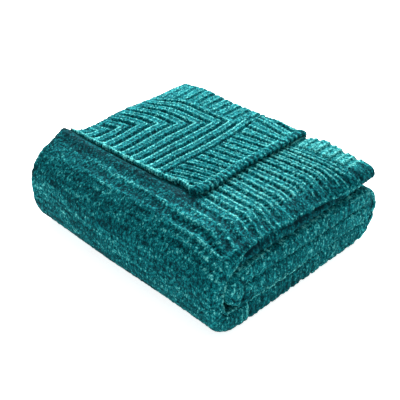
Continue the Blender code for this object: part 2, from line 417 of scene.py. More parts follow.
def pile(name, sheet, obj, count, seed, tall):
    """Short tufts of the chenille standing on a sheet, thickest where it shows.

    Each is one leaf, its root painted darker as shade deep in the pile.  They lie
    mostly along the yarn and gather in clumps a few millimetres long, open between;
    the clumps are lighter, partly random tone and partly painted light.
    Real tufts are several times finer; these are as coarse as they need to show.
    """
    rng = np.random.RandomState(seed)
    tri, at, out = corners(obj.data)
    tone, fur, cloth = (np.concatenate(k) for k in (sheet.tone, sheet.fur, sheet.uv))
    a, b, c = at[tri[:, 0]], at[tri[:, 1]], at[tri[:, 2]]
    ab, ac = cloth[tri[:, 1]] - cloth[tri[:, 0]], cloth[tri[:, 2]] - cloth[tri[:, 0]]
    yarn_way = unit((b - a) * -ac[:, :1] + (c - a) * ab[:, :1])
    area = np.linalg.norm(np.cross(b - a, c - a), axis=1)
    share = area * fur[tri].min(1) * (0.15 + np.clip(tone[tri].mean(1), 0, 1))
    pick = rng.choice(len(tri), 3 * count, p=share / share.sum())
    u, v = rng.uniform(0, 1, (2, len(pick)))
    u, v = np.where(u + v > 1, 1 - u, u), np.where(u + v > 1, 1 - v, v)
    mix = np.stack([1 - u - v, u, v], 1)[:, :, None]
    clump = clumps((cloth[tri[pick]] * mix).sum(1))
    keep = np.flatnonzero(rng.uniform(0, 1, len(pick)) < np.clip(0.35 + 1.1 * clump, 0.06, 1))[:count]
    pick, mix, clump = pick[keep], mix[keep], clump[keep]
    count = len(keep)
    root = (at[tri[pick]] * mix).sum(1)
    up = unit((out[tri[pick]] * mix).sum(1))
    level = (tone[tri[pick]] * mix[:, :, 0]).sum(1)
    side = rng.normal(0, 0.55, (count, 3)) + yarn_way[pick] * rng.choice([-1, 1], count)[:, None]
    side = unit(side - up * (side * up).sum(1)[:, None])
    lean = np.radians(rng.uniform(*TUFT["lean"], count))[:, None]
    way = up * np.cos(lean) + side * np.sin(lean)
    wide = unit(np.cross(up, way))
    half = rng.uniform(*TUFT["half"], count)[:, None]
    length = rng.uniform(*TUFT["length"], count)[:, None] * tall
    foot = root - up * TUFT["root"]
    tip = foot + way * length
    points = np.stack([foot - wide * half, foot + wide * half,
                       tip + wide * half * TUFT["narrow"], tip - wide * half * TUFT["narrow"]], 1)
    points = points.reshape(-1, 3)
    points[:, 2] = np.maximum(points[:, 2], LOWEST)
    # tips take the cloth's tone and are lighter in clumps, partly random tone and partly painted light; roots
    # get painted shade
    top = level + 0.52 * clump + rng.normal(0.02, 0.10, count)
    tones = np.stack([top - TUFT["dark"], top - TUFT["dark"], top, top], 1).ravel()
    first = np.arange(count) * 4
    faces = np.stack([first, first + 1, first + 2, first + 3], 1).tolist()
    return piece(name, points, faces, tones)


# -------------------------------------------------------- the long strip
# Pass by pass: mesh lines to a rib; how much of the ribs shows; how round the pass
# rolls over, outer and inner half; how far in it starts to roll over and how far
# its outermost point lies below its middle, as shares of its half thickness; and
# how thickly the pile of its outer ply shows.
LOOKS = {
    "top":    dict(lines=12, ribbed=1.00, round_out=1.00, round_in=0.36, shoulder=3.0, tip=0.5, fur=1.0),
    "front":  dict(lines=13, ribbed=0.16, round_out=0.40, round_in=0.42, shoulder=1.4, tip=0.1, fur=1.0),
    "bottom": dict(lines=9, ribbed=0.30, round_out=0.42, round_in=0.38, shoulder=1.0, tip=0.0, fur=0.0),
    "back":   dict(lines=9, ribbed=0.50, round_out=0.50, round_in=0.42, shoulder=1.0, tip=0.0, fur=0.7),
    "lobe":   dict(lines=9, ribbed=0.40, round_out=0.36, round_in=0.38, shoulder=1.0, tip=0.0, fur=0.0),
    "inner":  dict(lines=9, ribbed=0.40, round_out=0.42, round_in=0.45, shoulder=1.0, tip=0.0, fur=0.0),
    "end":    dict(lines=9, ribbed=0.40, round_out=0.38, round_in=0.38, shoulder=1.0, tip=0.0, fur=0.0),
}
# Where the outer ply is in the open: from which x on, and the mesh step along a rib there.
OPEN_FROM = {"top": 0.270, "front": 0.0, "back": 0.0}
OPEN_STEP = {"top": 0.00150, "front": 0.00165, "back": 0.0026}
HIDDEN_STEP = 0.04
ROLL_RIBBED = 0.36              # the ribs pull out flat where a pass rolls over
TUCK, TUCK_CLEAR = 0.9, 0.004   # the middle ply's end keeps out of a broad shoulder
STRIP_ROLL_POINTS = 27


def across(row):
    """Points across the strip: x, offset, face direction, cloth coordinate, join key.

    The join key rises from part to part: 0 the middle ply, 1 its turn at the free
    side, 2 the inner ply, 3 the roll, 4 the outer ply, 5 its edge at the free side.
    """
    far = (row["thick"] - PLY) / 2
    near = far / 2
    x0 = row["x_free"] + PLY / 2
    x1 = row["x_roll"] - PLY / 2 - far
    start = x1 + far - far * row["shoulder"]
    tuck = x1 - TUCK_CLEAR - TUCK * (x1 - start)
    parts = []

    def part(x, off, fx, fn, b, q):
        parts.append(np.stack(np.broadcast_arrays(x, off, fx, fn, b, q), 1))

    t = np.linspace(0, 1, 6)[:-1]
    x = tuck + (x0 + near - tuck) * t
    part(x, 0.0, 0.0, 1.0, x - 1.0, t)
    t = np.linspace(0, 1, 9)[:-1]
    part(x0 + near - near * np.sin(pi * t), near * np.cos(pi * t) - near,
         -np.sin(pi * t), np.cos(pi * t), -0.8 + near * pi * t, 1 + t)
    t = np.concatenate([np.linspace(0, 1, 7)[:-2], [0.90, 0.95, 0.98]])
    x = x0 + near + (x1 - x0 - near) * t
    part(x, -far, 0.0, -1.0, x - x1, 2 + t)
    t = np.linspace(0, 1, STRIP_ROLL_POINTS)
    turned = -np.cos(pi * t)
    outer = turned > 0
    power = np.where(outer, row["round_out"], row["round_in"])
    out, rise = np.sin(pi * t).clip(0) ** power, np.sign(turned) * np.abs(turned) ** power
    face_x, face_n = out ** (2 / power - 1), np.sign(rise) * np.abs(rise) ** (2 / power - 1)
    size = np.hypot(face_x, face_n)
    at = np.where(outer, start + far * row["shoulder"] * out, x1 + far * out)
    off = np.where(outer, (1 + row["tip"]) * rise, (1 - row["tip"]) * rise) * far - row["tip"] * far
    part(at, off, face_x / size, face_n / size, pi * far * t, 3 + t)
    # the outer ply: fine where it is in the open, coarse where it is covered
    split = max(min(OPEN_FROM.get(row["name"], start), start - 0.01), x0)
    pieces = []
    if row["name"] in OPEN_FROM:
        pieces.append(np.linspace(start, split, even_steps(start - split, OPEN_STEP[row["name"]]))[1:])
    else:
        split = start
    if split > x0 + 1e-6:
        pieces.append(np.linspace(split, x0, even_steps(split - x0, HIDDEN_STEP) + 1)[1:])
    x = np.concatenate(pieces)
    part(x, far, 0.0, 1.0, pi * far + start - x, 4 + (start - x) / (start - x0))
    t = np.linspace(0, 1, 7)[1:]
    part(x0 + 0 * t, far, -np.sin(pi * t), np.cos(pi * t), pi * far + start - x0 + PLY / 2 * pi * t, 5 + t)
    part(np.array([x0 + 0.008]), far, 0.0, -1.0, pi * far + start - x0 + 0.02, 7.0)
    return np.concatenate(parts)


def even_steps(length, step):
    """How many steps of about this size a length takes, at least two."""
    return max(2, int(ceil(length / step)))


BORDER = TOP_EDGE_Y - BORDER_Y  # strip length of the border at the cut end
BORDER_LINES = 34
CLOSEST = 0.0004                # mesh lines lie no closer than this
END_SHORT = 0.0003              # the last line lies this far before the strip's inside end


def strip_lines():
    """Where the mesh lines lie along the strip."""
    total = LINE["s"][-1]
    lines = list(np.linspace(0, BORDER, BORDER_LINES))
    for low, high in zip(GROOVES, GROOVES[1:]):
        n = LOOKS[station(low)["name"]]["lines"]
        lines += [low + (high - low) * k / n for k in range(n)]
    lines = [s for s in sorted(lines) if s < total - CLOSEST]
    return [s for s in lines if s <= BORDER - 1e-9 or s > BORDER + CLOSEST] + [total - END_SHORT]


def eased(key):
    """One of the looks for each pass, eased from one to the next along the strip."""
    v = np.array([LOOKS[n][key] for n in LINE["name"]])
    return np.convolve(np.pad(v, 30, mode="edge"), np.ones(61) / 61, "valid")


ALONG = {key: eased(key) for key in ("ribbed", "fur", "round_out", "round_in", "shoulder", "tip")}
LEG_START = {n: LINE["s"][np.argmax(LINE["name"] == n)] for n in LOOKS}
LEG_END = {n: LINE["s"][len(LINE["s"]) - 1 - np.argmax(LINE["name"][::-1] == n)] for n in LOOKS}

# Thin lips where the edge of a ply shows on the rolled side, each a painted highlight
# with painted shade inside it, as knots of strip length in metres, place round the
# roll (0 inside, 1 outside) and strength.
LIPS = [
    # the middle ply under the shoulder of the top pass and down the front turn
    [(0.01, 0.34, 0.0), (0.03, 0.42, 0.8), (0.07, 0.58, 0.9), (0.10, 0.66, 0.9), (0.14, 0.71, 1.0),
     (0.264, 0.67, 1.0), (0.30, 0.46, 1.1), (0.34, 0.30, 1.3), (0.39, 0.26, 1.2), (0.43, 0.26, 0.5),
     (0.45, 0.26, 0.0)],
    # the back turn's inner edge and, on from it, the lower edge of the lobe
    [(LEG_START["back"] - 0.02, 0.20, 0.0), (LEG_START["back"] + 0.02, 0.20, 0.8),
     (LEG_END["lobe"], 0.14, 0.9), (LEG_END["inner"], 0.30, 0.0)],
    # a second ply's edge nested in the lobe's front end
    [(LEG_END["lobe"] - 0.10, 0.90, 0.0), (LEG_END["lobe"] - 0.05, 0.88, 0.35),
     (LEG_END["lobe"], 0.80, 0.5), (LEG_END["lobe"] + 0.03, 0.58, 0.9),
     (LEG_END["inner"] - 0.01, 0.42, 0.7), (LEG_END["inner"] + 0.02, 0.4, 0.0)],
    # the outer ply's edge round the back turn
    [(LEG_START["back"] - 0.03, 0.74, 0.0), (LEG_START["back"] + 0.01, 0.66, 0.9),
     (LEG_END["back"] - 0.05, 0.60, 1.0), (LEG_END["back"] + 0.02, 0.70, 0.6),
     (LEG_END["back"] + 0.07, 0.78, 0.0)],
    # the lower edge of the last pass
    [(LEG_START["end"] - 0.02, 0.80, 0.2), (LEG_START["end"] + 0.02, 0.76, 1.3),
     (LEG_START["end"] + 0.12, 0.76, 1.3), (LEG_START["end"] + 0.17, 0.76, 0.4), (LEG_END["end"], 0.76, 0.3)],
]
# lips: half width round the roll, height and painted highlight; then their painted shade's offset inward,
# half width, depth and darkness
LIP_WIDE, LIP_UP, LIP_HIGHLIGHT = 0.034, 0.0020, 0.42
SHADE_OFF, SHADE_WIDE, SHADE_DOWN, SHADE_DARK = 0.085, 0.045, 0.0026, 0.56


def lips(s, t, inward):
    """Height, painted highlight and painted shade that the lips add round the roll at one station."""
    high, light = 0 * t, 0 * t
    for i, knots in enumerate(LIPS):
        along, place, strength = (list(k) for k in zip(*knots))
        if not along[0] < s < along[-1]:
            continue
        at = np.interp(s, along, place) + 0.030 * grain(s, 0.0, 0.035, 80 + i)
        k = np.interp(s, along, strength) * (0.85 + 0.35 * grain(s, 0.0, 0.018, 90 + i))
        hole_shade = np.clip(0.7 + 0.8 * grain(s, 0.0, 0.009, 60 + i), 0, 1.4)
        edge = k * bell(t - at, LIP_WIDE)
        shade = k * hole_shade * bell(t - at + inward * SHADE_OFF, SHADE_WIDE)
        high = high + LIP_UP * edge - SHADE_DOWN * shade
        light = light + LIP_HIGHLIGHT * edge - SHADE_DARK * shade
    return high, light


UNDER_FLAP = 0.30               # strip length beyond which ribs and stitches grow faint
SLUMP_BEND = 0.009              # the ribs run forward by this where they go over the rolled side
ROLL_FADE = (0.60, 0.45)        # place round the roll where the ribs fade, and over how much
BEYOND_X, BEYOND_S = (0.288, 0.020), (0.24, 0.300, 0.055)   # the ribs run on over the front here
UNDER_HEM_X, UNDER_HEM_S = (0.315, 0.030), (0.235, 0.010)   # and have gone before the hem here


def strip_ribs(s, side, b, q, wander, slump):
    """Height and lightness of the ribs: along Y in the border, along X beyond it."""
    if s >= BORDER:
        bend = SLUMP_BEND * slump * (q > 3) * (s < UNDER_FLAP)
        rib = np.interp(side + wander - bend, GROOVES, np.arange(len(GROOVES)))
        return knit(rib, b, 1.0 if s < UNDER_FLAP else 0.5)
    high, light = knit((b + wander - BORDER_FIRST) / BORDER_RIB, side, 0.15)
    butt = ease(0.0, 1.0, (BORDER - s) / BUTT)
    # painted light: the border's ribs are made lighter
    high, light = 0.55 + 0.6 * (high - 0.5), 0.74 + 0.6 * (light - 0.6)
    # painted shade where the border's ribs sink into the next field
    return high * butt, light * (0.6 + 0.4 * butt)


def ribs_shown(s, side, b, x, q, t, on_roll, flat):
    """How much of the ribs shows: all on the flat, less round the roll and on the front."""
    if flat > ROLL_RIBBED:
        amount = flat + (ROLL_RIBBED - flat) * ease(1.0, 0.0, (t - ROLL_FADE[0]) / ROLL_FADE[1])
    else:
        amount = np.where(on_roll, ROLL_RIBBED, flat + 0 * t)
    amount = np.where(on_roll, amount * (0.75 + 0.5 * grain(side, b, 0.028, 7)), amount)
    # but for the lowest pass and the back turn, whose ribs stand out at the edge
    low_edge = ease(0.0, 1.0, (t - 0.55) / 0.25) * (LEG_START["bottom"] < s < LEG_END["back"])
    amount = amount + 0.30 * on_roll * low_edge
    under_hem = ease(0.0, 1.0, (UNDER_HEM_X[0] - x) / UNDER_HEM_X[1]) * (q >= 4)
    under_hem = under_hem * ease(0.0, 1.0, (s - UNDER_HEM_S[0]) / UNDER_HEM_S[1])
    amount = amount * (1 - under_hem)
    beyond = ease(0.0, 1.0, (x - BEYOND_X[0]) / BEYOND_X[1]) * (s > BEYOND_S[0]) * (q >= 4)
    beyond = beyond * ease(1.0, 0.0, (s - BEYOND_S[1]) / BEYOND_S[2])
    return np.maximum(amount, 0.75 * beyond)


RIDGE_LINES = ((0.2845, 0.5, 1.0), (0.3010, 1.0, 0.8))      # strip length, wander and strength
RIDGE_LINE_WIDE, RIDGE_LINE_UP = 0.0030, 0.0018
SHADED = ((0.2610, 0.0, 1.7, 0.0120), (0.2930, 1.0, 0.8, 0.0028))   # and half width
TIGHT = dict(start=0.365, over=0.025, spacing=0.0100)       # faint rib lines low on the front
# Lightness of the plain cloth, and what each thing that plays over it adds: the
# ridges' lift is painted light, the shaded bands and the strip by the hem painted shade.
PLAIN = dict(level=0.51, nubs=0.20, streaks=0.22, streaks_left=0.14, ridges=0.26, shaded=-0.14,
             tight=0.10, by_hem=-0.10)
# Painted light and shade by place: painted shade on the slumped shoulder, painted
# light on the roll, painted shade on the roll of the top pass, painted light on the
# open top and the border, painted shadow at its far corner, painted light over a
# gap's shade, and painted shade low on the roll and just above that.
PAINTED_PLACE_LIGHT = dict(slump=-0.14, roll=0.06, top_roll=-0.07, top=0.05, border=0.10, corner=-0.22, gap=0.22,
             low=-0.17, above=-0.05)
PROUD, NUB_UP = 0.0010, 0.0006  # the pile stands this far out, and its nubs this much more
LUMP_UP = 0.0014                # and it is lumpy where the plies roll over


def front_ridges(s, x, q, wander):
    """Two soft ridges that run along the front below the hem, 0 to 1."""
    lines = sum(share * bell(s - at + much * wander, RIDGE_LINE_WIDE) for at, much, share in RIDGE_LINES)
    return lines * (q >= 4) * (x < 0.36) * (0.1 + 0.9 * ease(0.0, 1.0, (x - 0.08) / 0.06))


def plain_tone(s, side, b, x, q, bump, wander, soft):
    """Lightness of the plain cloth: nubs, streaks along X, painted light on the front's ridges and painted
    shade below the hem.
    """
    streak = 0.5 * grain(side * 6, b, 0.050, 17) + 0.8 * grain(side * 13, b, 0.030, 18)
    left = ease(0.0, 1.0, (0.26 - x) / 0.15) * ease(0.0, 1.0, (s - 0.31) / 0.03)
    plain = PLAIN["level"] + PLAIN["nubs"] * bump
    plain = plain + (PLAIN["streaks"] + PLAIN["streaks_left"] * left) * streak
    dim = sum(share * bell(s - at + much * wander, wide) for at, much, share, wide in SHADED)
    # painted light on the front's ridges, painted shade in the bands below the hem
    plain = plain + PLAIN["ridges"] * soft + PLAIN["shaded"] * dim * (q >= 4) * (x < 0.36)
    tight = ease(0.0, 1.0, (s - TIGHT["start"]) / TIGHT["over"]) * (s < LEG_START["bottom"]) * (q >= 4)
    lines = np.sin(2 * pi * (s + wander) / TIGHT["spacing"]) * (0.6 + 0.6 * grain(side, b, 0.060, 19))
    plain = plain + PLAIN["tight"] * tight * lines
    # painted shade on the outer ply under the turned-up end and by its hem
    return plain + PLAIN["by_hem"] * ease(1.0, 0.0, (s - 0.27) / 0.05) * (q >= 4)


def place_light_and_shade(s, x, q, t, on_roll, row, slump):
    """The painted light and shade that the place on the pile adds to the lightness."""
    tone = PAINTED_PLACE_LIGHT["slump"] * slump * (q > 3) * (s < UNDER_FLAP) + PAINTED_PLACE_LIGHT["roll"] * on_roll
    tone = tone + PAINTED_PLACE_LIGHT["top_roll"] * on_roll * (s < 0.28) + PAINTED_PLACE_LIGHT["top"] * (q >= 4) * (q < 5) * (s < 0.25)
    corner = ease(0.0, 1.0, (x - 0.380) / 0.020)
    tone = tone + (PAINTED_PLACE_LIGHT["border"] + PAINTED_PLACE_LIGHT["corner"] * corner) * (s < BORDER) * (q >= 3)
    # painted light that lifts the shade of the gaps between passes
    gap = bell(1 - t, 0.12) * (s > LEG_START["lobe"]) + bell(t, 0.14) * (s < 0.26)
    tone = tone + PAINTED_PLACE_LIGHT["gap"] * on_roll * gap
    # low on the rolled side near the front, painted shade on the lowest pass and less just above it
    low = ease(1.0, 0.0, (row["y"] - 0.150) / 0.090)
    low = low * (row["z"] < HEIGHT["end"] + 0.005) * (s > LEG_START["bottom"])
    return tone + PAINTED_PLACE_LIGHT["low" if row["z"] < HEIGHT["end"] - 0.010 else "above"] * low * on_roll


def strip_row(s):
    """One line of points across the strip, with all that the mesh needs of them."""
    row = station(s)
    row.update({k: np.interp(s, LINE["s"], v) for k, v in ALONG.items()})
    x, off, fx, fn, b, q = across(row).T
    side = s + 0 * b
    t = np.clip(q - 3, 0, 1)
    on_roll = (q > 3) & (q < 4)
    slump = slumped(x, row["y"])
    wander = 0.0012 * grain(side, b, 0.045, 3)
    bump = nubs(side, b, 11)
    high, light = strip_ribs(s, side, b, q, wander, slump)
    amount = ribs_shown(s, side, b, x, q, t, on_roll, row["ribbed"])
    soft = front_ridges(s, x, q, wander)
    plain = plain_tone(s, side, b, x, q, bump, wander, soft)
    lip_high, lip_light = lips(s, t, 1.0 if row["nz"] > -0.2 else -1.0)
    h = RIB_DEEP * amount * (high - 1) + PROUD + NUB_UP * (1 + (1 - amount)) * bump
    lumps = LUMP_UP * np.clip(np.abs(2 * t - 1) - 0.5, 0, 0.5) * grain(side, 0 * t, 0.020, 9)
    h = h + np.where(on_roll, lip_high + lumps, RIDGE_LINE_UP * soft)
    reach = PLY / 2 + h
    points = np.stack([x + fx * reach,
                       row["y"] + row["ny"] * (off + fn * reach),
                       row["z"] + row["nz"] * (off + fn * reach)], 1)
    points[:, 2] = np.maximum(points[:, 2], FLOOR_CLEAR)
    tone = light * amount + plain * (1 - amount) + PLAIN["nubs"] * bump * amount
    tone = tone + np.where(on_roll, lip_light, 0.0) + place_light_and_shade(s, x, q, t, on_roll, row, slump)
    open_fur = row["fur"] * (x > OPEN_FROM.get(row["name"], 0.0))
    edge_fur = np.where(((q > 1) & (q < 2)) | (q >= 5), 0.5, 0.0)
    fur = np.where((q >= 4) & (q < 5), open_fur, np.where(on_roll, 0.9, edge_fur))
    cloth = np.where(on_roll[:, None], np.stack([side, b], 1), np.stack([b, side], 1))
    return dict(points=points, tone=tone, cloth=cloth, q=q, fur=fur, x=x, off=off, fx=fx, fn=fn,
                row=row, reach=reach)


# Round each ply's edge at the cut end, from its back to its face: how far in and
# the angle round the edge.
CUT_END = ((0.010, 180), (0.004, 180), (0.0, 165), (0.0, 135), (0.0, 105), (0.0, 75), (0.0, 45), (0.0, 20))


def long_strip():
    """The whole three-ply strip, from its cut end to its inside end."""
    sheet = Sheet()
    end = strip_row(0.0)
    row, reach = end["row"], end["reach"]
    last = None
    for back, angle in CUT_END:
        c, d = cos(radians(angle)), sin(radians(angle))
        out = end["off"] + end["fn"] * reach * c
        points = np.stack([end["x"] + end["fx"] * reach * c,
                           row["y"] - back + row["ny"] * out + reach * d,
                           row["z"] + row["nz"] * out], 1)
        # painted shade: the rows round the cut edge are a little darker
        ids = sheet.row(points, end["tone"] * 0.9, end["cloth"] - [0.004 + back, 0], end["fur"])
        if last is not None:
            sheet.join(last, end["q"], ids, end["q"])
        last = ids
    last_q = end["q"]
    for s in strip_lines():
        line = strip_row(s)
        ids = sheet.row(line["points"], line["tone"], line["cloth"], line["fur"])
        sheet.join(last, last_q, ids, line["q"])
        last, last_q = ids, line["q"]
    return sheet, sheet.build("throw_folds")


# ---------------------------------------------------- the turned-up end
FLAP_FINE = 0.00115             # its mesh step
FLAP_PROUD = 0.0012             # its pile stands this far out
# Where the ribs pull out flat, and over how much: at the back corner and the free side.
PULLED_X, PULLED_Y, PULLED_SIDE = (0.07, 0.05), (0.29, 0.03), (0.010, 0.022)
# The trim: how far in the open side's roll ends, its cord, and the lengths of one
# scallop of the roll and one bead of the hem.
TRIM = dict(roll=0.0080, roll_over=0.0035, cord=0.0095, cord_wide=0.0017, scallop=0.0105,
            hem_wide=0.0026, bead=0.0056)


def counted(distance, rib, widen):
    """How many ribs lie within a distance, each a little wider than the last."""
    d = np.maximum(distance, 0.0)
    return np.where(distance < 0, distance / rib, (-rib + np.sqrt(rib ** 2 + 4 * widen * d)) / (2 * widen))


def flap_relief(x, y):
    """Ribs that turn a mitred corner, with plain fields behind and beside them.

    The columns lean, and the rows droop towards the free side.
    """
    wander = 0.0010 * grain(x, y, 0.045, 42)
    lean = np.where(y > LEAN_Y, LEAN_BEHIND, LEAN_BEFORE) * (y - LEAN_Y)
    column = counted(COLUMNS["first"] - x - lean + wander, COLUMNS["rib"], COLUMNS["widen"])
    past = DROOP_X - x
    droop = (past + np.sqrt(past ** 2 + DROOP_SOFT)) / 2 * np.interp(y, DROOP_Y, DROOP_SHARE)
    row = counted(ROWS["first"] - y - droop + wander, ROWS["rib"], ROWS["widen"]) + 1
    field = SIDE_FIELD
    level = y - np.interp(y, SLOPE_Y, SLOPE_SHARE) * (x - field["x"])
    sway = field["sway"] * np.sin(2 * pi * (y - field["sway_y"]) / field["sway_length"])
    side_rib = (level - field["first"]) / field["rib"] + sway
    back_rib = (x - BACK_FIELD["first"] + wander) / BACK_FIELD["rib"]
    corner = (column >= 1) & (y + droop < BACK_FIELD_Y)
    spine = (column >= 0) & (column < 1) & (y < SPINE_END_Y)
    mitre = corner | spine
    beside = column < 0
    upright = (column < row) | spine
    rib = np.where(corner, np.minimum(column, row),
                   np.where(spine, column, np.where(beside, side_rib, back_rib)))
    along = np.where((corner & ~upright) | beside, x, y)
    high, light = knit(rib, along, 0.22, FLAP_STITCH)
    # across the columns the light falls on one strand and leaves the other dull
    f = rib - np.floor(rib)
    uneven = np.where((corner & upright) | spine, np.clip((f - 0.5) * 4, -1, 1), 0.0)
    light = light + 0.25 * uneven * bell(np.abs(2 * f - 1) - STRAND_AT, 0.16)
    gap = np.where(mitre, 1.0, np.where(beside, -column * 0.02, (y + droop - BACK_FIELD_Y)))
    butt = ease(0.0, 1.0, gap / BUTT)
    # the ribs pull out towards the free side
    pulled = ease(0.0, 1.0, (PULLED_X[0] - x) / PULLED_X[1])
    pulled = pulled * ease(0.0, 1.0, (y - PULLED_Y[0]) / PULLED_Y[1])
    pulled = np.maximum(pulled, 2.0 * ease(1.0, 0.0, (x - PULLED_SIDE[0]) / PULLED_SIDE[1]))
    soften = 1 - 0.45 * pulled
    high, light = 0.8 - 0.3 * soften + (high - 0.5) * soften, 0.6 + 0.88 * (light - 0.6) * soften
    # painted light: the ribs are lighter towards the back, where the light comes from, and darker towards the
    # hem
    light = light + 0.05 * np.clip((y - 0.24) / 0.06, -1, 1)
    crisp = np.where(mitre, CRISP["mitre"], np.where(beside, CRISP["beside"], CRISP["behind"]))
    high, light = 0.5 + crisp * (high - 0.5), 0.6 + crisp * (light - 0.6)
    # painted shade where a field's ribs sink into the next
    return high * (0.5 + 0.5 * butt), light * (0.4 + 0.6 * butt)


def hem_line(x):
    """The hem's place along Y."""
    return FLAP_HEM_Y + HEM_RISE["back"] * bell(x - HEM_RISE["x"], HEM_RISE["wide"]) \
        + 0.0008 * grain(x, 0 * x, 0.030, 46)


def loose(x):
    """The fold stands up less towards the flap's open side."""
    gone = FLAP_LOOP_GONE
    return 1 - gone["share"] * ease(0.0, 1.0, (x - gone["x"]) / gone["over"])


def flap_height(x, y, hem):
    """Middle of the turned-up ply: up off the pile, over its loose fold, to the hem."""
    top = HEIGHT["top"] + PASSES["top"]["thick"] / 2 - PLY / 2
    t = (TOP_EDGE_Y - y) / (TOP_EDGE_Y - hem)
    lift = FLAP_LOOP * (1 - ease(0.0, 1.0, 2.2 * t)) * loose(x)
    sink = FLAP_SINK["down"] * ease(0.0, 1.0, t) * ease(1.0, 0.0, (x - FLAP_SINK["x"]) / FLAP_SINK["over"])
    return top + FLAP_RISE + lift - sink


def flap_trim(x, y, in_x, in_y, high, light):
    """The corded roll down the open side and the beads along the hem, with a painted highlight on the cord
    and beads and painted light and shade on the scallops.
    """
    cord = bell(in_x - TRIM["cord"], TRIM["cord_wide"])
    roll = ease(1.0, 0.0, (in_x - TRIM["roll"]) / TRIM["roll_over"])
    scallop = np.sin(2 * pi * (y + 0.5 * in_x) / TRIM["scallop"])
    high = high * (1 - roll) + roll * (0.75 + 0.16 * scallop * bell(in_x, 0.008))
    high = high + 0.25 * cord
    # painted light and shade on the roll's scallops, painted highlight on its cord
    light = light * (1 - roll) + roll * (0.50 + 0.20 * scallop) + 0.40 * cord
    bead = 0.5 + 0.5 * np.sin(2 * pi * x / TRIM["bead"] + 2.0 * grain(x, 0 * x, 0.02, 47))
    at_hem = bell(in_y, TRIM["hem_wide"])
    high = high * (1 - at_hem) + at_hem * (0.70 + 0.35 * bead)
    # painted highlight on the hem's beads
    light = light * (1 - at_hem) + at_hem * (0.75 + 0.45 * bead)
    return high, light, roll


def round_corner(x, y, corner_x, corner_y):
    """Rounds the front corner in plan."""
    vx, vy = np.maximum(x - corner_x, 0), np.maximum(corner_y - y, 0)
    size = np.hypot(vx, vy)
    k = np.where(size > 1e-9, np.maximum(vx, vy) / np.maximum(size, 1e-9), 1.0)
    return np.where(vx * vy > 0, corner_x + vx * k, x), np.where(vx * vy > 0, corner_y - vy * k, y)


def turned_up_end():
    """The end that folds out from under the top pass's edge and lies on top."""
    sheet = Sheet()
    x0, x1 = PASSES["top"]["x_free"] + PLY / 2, FLAP_X
    top = HEIGHT["top"] + PASSES["top"]["thick"] / 2 - PLY / 2
    half = FLAP_RISE / 2
    # columns: underside, round the -X edge, across, round the +X edge, underside
    turns = np.linspace(0, 1, 9)
    n = int((x1 - x0) / FLAP_FINE)
    cols = [(x0 + 0.010, -180.0), (x0 + 0.004, -180.0)] + [(x0, -180 + 180 * t) for t in turns[:-1]]
    cols += [(x, 0.0) for x in np.linspace(x0, x1, n)]
    cols += [(x1, 180 * t) for t in turns[1:]] + [(x1 - 0.004, 180.0), (x1 - 0.010, 180.0)]
    cx = np.array([c[0] for c in cols])
    ax = np.radians([c[1] for c in cols])
    # rows: round the fold, to the hem, round it, underside
    m = int((TOP_EDGE_Y - FLAP_HEM_Y) / FLAP_FINE)
    rows = [("fold", t) for t in np.linspace(0, 1, 22)[:-1]]
    rows += [("lie", t) for t in np.linspace(0, 1, m)]
    rows += [("hem", t) for t in turns[1:]] + [("under", 0.004), ("under", 0.010)]
    hem = hem_line(cx * (FLAP_X + FLAP_SPLAY) / FLAP_X)
    last = None
    for kind, t in rows:
        ay = {"hem": pi * t, "under": pi}.get(kind, 0.0)
        if kind == "fold":
            a = pi * t
            lift = FLAP_LOOP * sin(a / 2) ** 4 * loose(cx)
            y = np.full(len(cx), TOP_EDGE_Y + 1.4 * half * sin(a))
            z = np.full(len(cx), top + half - half * cos(a) + lift)
            face_y, face_z = sin(a), -cos(a)
            knit_y = np.full(len(cx), TOP_EDGE_Y + half * (pi - a))
        else:
            y = TOP_EDGE_Y + (hem - TOP_EDGE_Y) * (t if kind == "lie" else 1.0)
            if kind == "under":
                y = y + t
            z = flap_height(cx, y, hem)
            face_y, face_z = 0.0, 1.0
            knit_y = y
        # towards the hem the free side lies further in and the other side further out
        forward = ease(0.0, 1.0, (FLAP_FORWARD["y"] - y) / FLAP_FORWARD["over"])
        x = cx + forward * (FLAP_INSET * (1 - cx / FLAP_X) + FLAP_SPLAY * cx / FLAP_X)
        x, y = round_corner(x, y, x1 + FLAP_SPLAY - FLAP_CORNER, hem + FLAP_CORNER)
        # direction in which the knit's face stands
        angle = np.maximum(np.abs(ax), ay)
        lx, ly = np.abs(ax) * np.sign(ax), -ay + 0 * ax
        size = np.maximum(np.hypot(lx, ly), 1e-9)
        dx = np.where(angle > 0, lx / size * np.sin(angle), 0.0)
        dy = np.where(angle > 0, ly / size * np.sin(angle), 0.0)
        high, light = flap_relief(x, knit_y)
        in_x = np.maximum(x1 - cx, 0)
        in_y = np.maximum(1.0 if kind == "fold" else y - hem, 0) + 0 * in_x
        high, light, roll = flap_trim(x, knit_y, in_x, in_y, high, light)
        # painted shade on the hem's front and on the underside
        if kind in ("hem", "under"):
            light = light - 0.45 * (t if kind == "hem" else 1.0) ** 0.5
        if kind == "fold":
            high = 0.5 + 0.6 * (high - 0.5)
        bump = nubs(x, knit_y, 23)
        swell = 0.0022 * roll * np.sin(pi * np.clip(in_x / 0.012, 0, 1))
        reach = PLY / 2 + RIB_DEEP * (high - 1) + FLAP_PROUD + NUB_UP * bump + swell
        points = np.stack([x + dx * reach,
                           y + (dy + face_y * np.cos(angle)) * reach,
                           z + face_z * np.cos(angle) * reach], 1)
        fur = np.full(len(cx), 0.0 if kind == "under" else 1.0)
        ids = sheet.row(points, light + 0.12 * bump, np.stack([x, knit_y], 1), fur)
        if last is not None:
            sheet.join(last, None, ids, None)
        last = ids
    return sheet, sheet.build("throw_turned_up_end")


strip_sheet, strip = long_strip()
flap_sheet, flap = turned_up_end()
